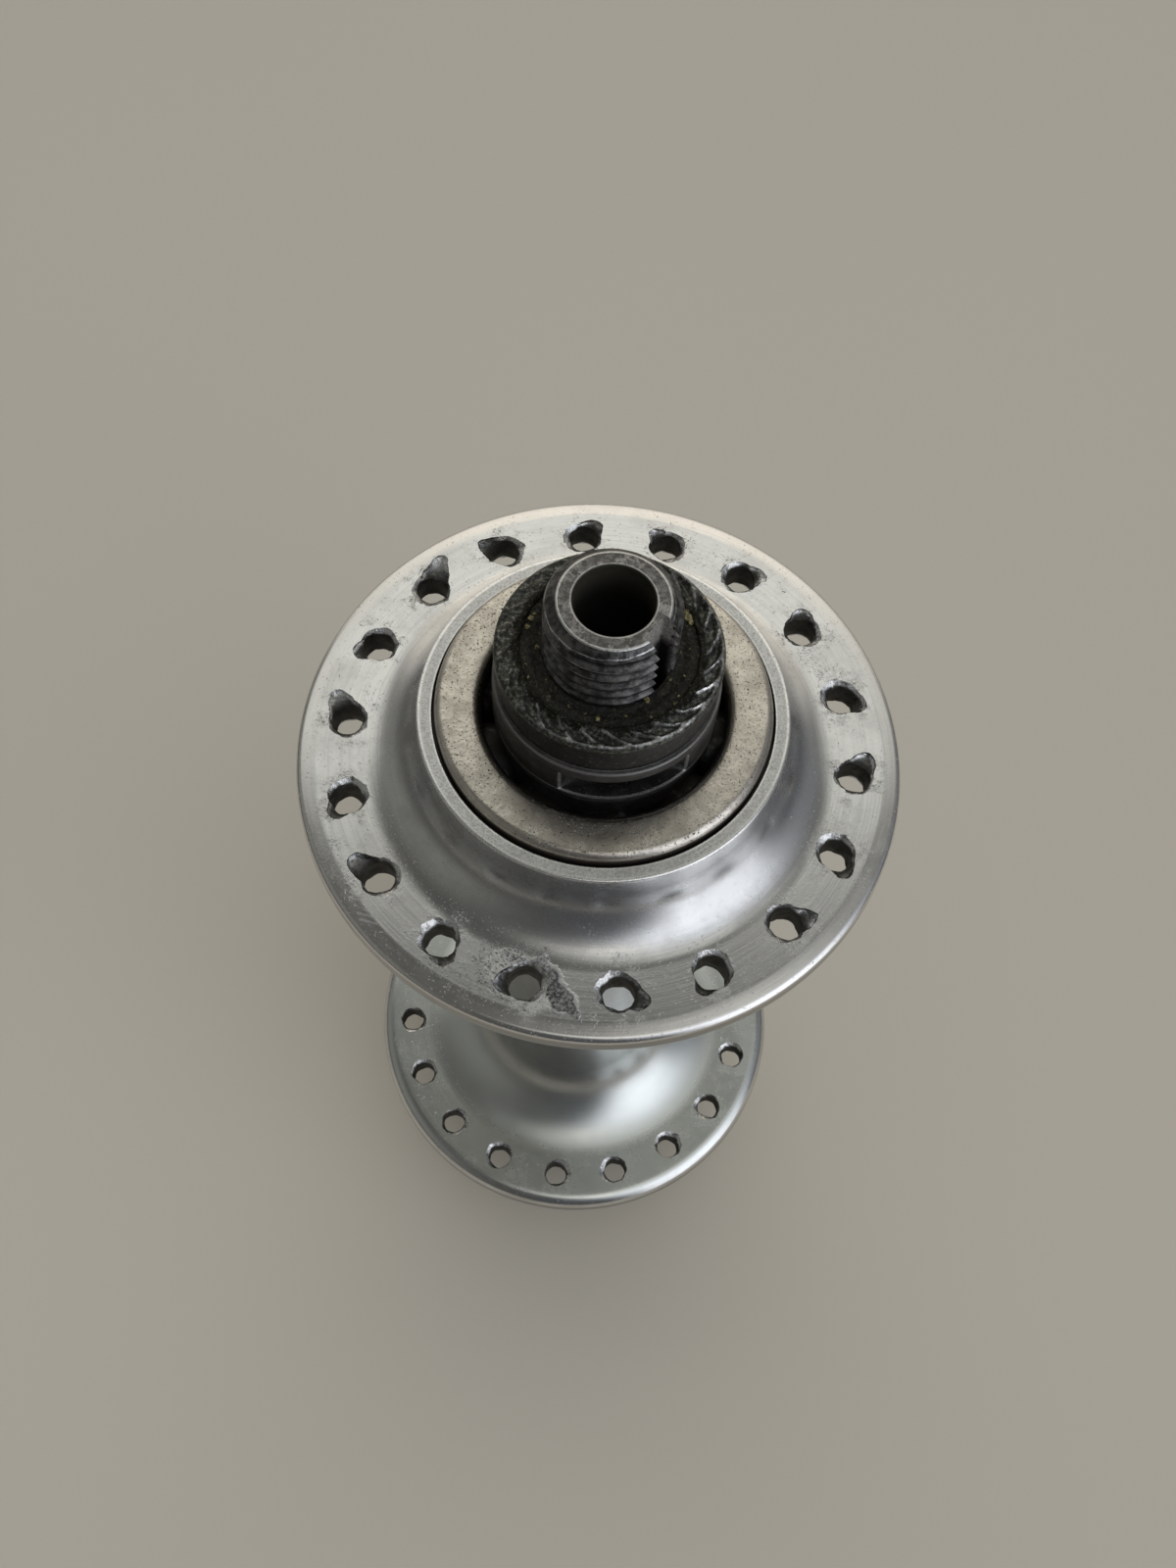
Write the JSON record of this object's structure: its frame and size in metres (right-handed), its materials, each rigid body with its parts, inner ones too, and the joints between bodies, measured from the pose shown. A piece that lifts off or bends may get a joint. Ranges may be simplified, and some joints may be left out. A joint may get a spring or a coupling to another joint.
{
  "type": "bicycle front hub",
  "caption": "Quick-release bicycle front hub: spoked-wheel shell with two drilled flanges turning on cup-and-cone ball bearings over a hollow threaded axle.",
  "frame": {"origin": "middle of the hub on the axle's centre line, halfway between the flanges", "axes": "+Z along the axle, up in the picture; -Y towards the picture's viewer; +X to the viewer's right"},
  "size_m": [0.0454, 0.0454, 0.1108],
  "materials": {
    "shell_aluminium": "polished aluminium gone satin, with oxide stains and spoke wear",
    "cap_nickel": "warm grey nickel plate on pressed steel, blotchy and lightly pitted",
    "black_steel": "black oxide steel with bright worn edges and old grease",
    "axle_steel": "dark machined steel with a mottled light end face",
    "bearing_steel": "ground bearing steel"
  },
  "bodies": {
    "axle_set": {"axle": "axle_steel", "cone_upper": "black_steel", "cone_lower": "black_steel", "keyed_washer_upper": "black_steel", "keyed_washer_lower": "black_steel", "locknut_upper": "black_steel", "locknut_lower": "black_steel"},
    "shell_set": {"hub_shell": "shell_aluminium", "bearing_cup_upper": "bearing_steel", "bearing_cup_lower": "bearing_steel", "dust_cap_upper": "cap_nickel", "dust_cap_lower": "cap_nickel"},
    "balls_upper": {"ball_upper_1": "bearing_steel", "ball_upper_2": "bearing_steel", "ball_upper_3": "bearing_steel", "ball_upper_4": "bearing_steel", "ball_upper_5": "bearing_steel", "ball_upper_6": "bearing_steel", "ball_upper_7": "bearing_steel", "ball_upper_8": "bearing_steel", "ball_upper_9": "bearing_steel"},
    "balls_lower": {"ball_lower_1": "bearing_steel", "ball_lower_2": "bearing_steel", "ball_lower_3": "bearing_steel", "ball_lower_4": "bearing_steel", "ball_lower_5": "bearing_steel", "ball_lower_6": "bearing_steel", "ball_lower_7": "bearing_steel", "ball_lower_8": "bearing_steel", "ball_lower_9": "bearing_steel"}
  },
  "joints": [
    {"name": "shell_spin", "type": "hinge", "parent": "axle_set", "child": "shell_set", "pos_m": [0, 0, 0], "axis": [0, 0, 1], "continuous": true},
    {"name": "balls_upper_roll", "type": "hinge", "parent": "axle_set", "child": "balls_upper", "pos_m": [0, 0, 0.0372], "axis": [0, 0, 1], "continuous": true},
    {"name": "balls_lower_roll", "type": "hinge", "parent": "axle_set", "child": "balls_lower", "pos_m": [0, 0, -0.0372], "axis": [0, 0, 1], "continuous": true}
  ],
  "couplings": [
    {"joint": "balls_upper_roll", "follows": "shell_spin", "ratio": 0.617},
    {"joint": "balls_lower_roll", "follows": "shell_spin", "ratio": 0.617}
  ]
}
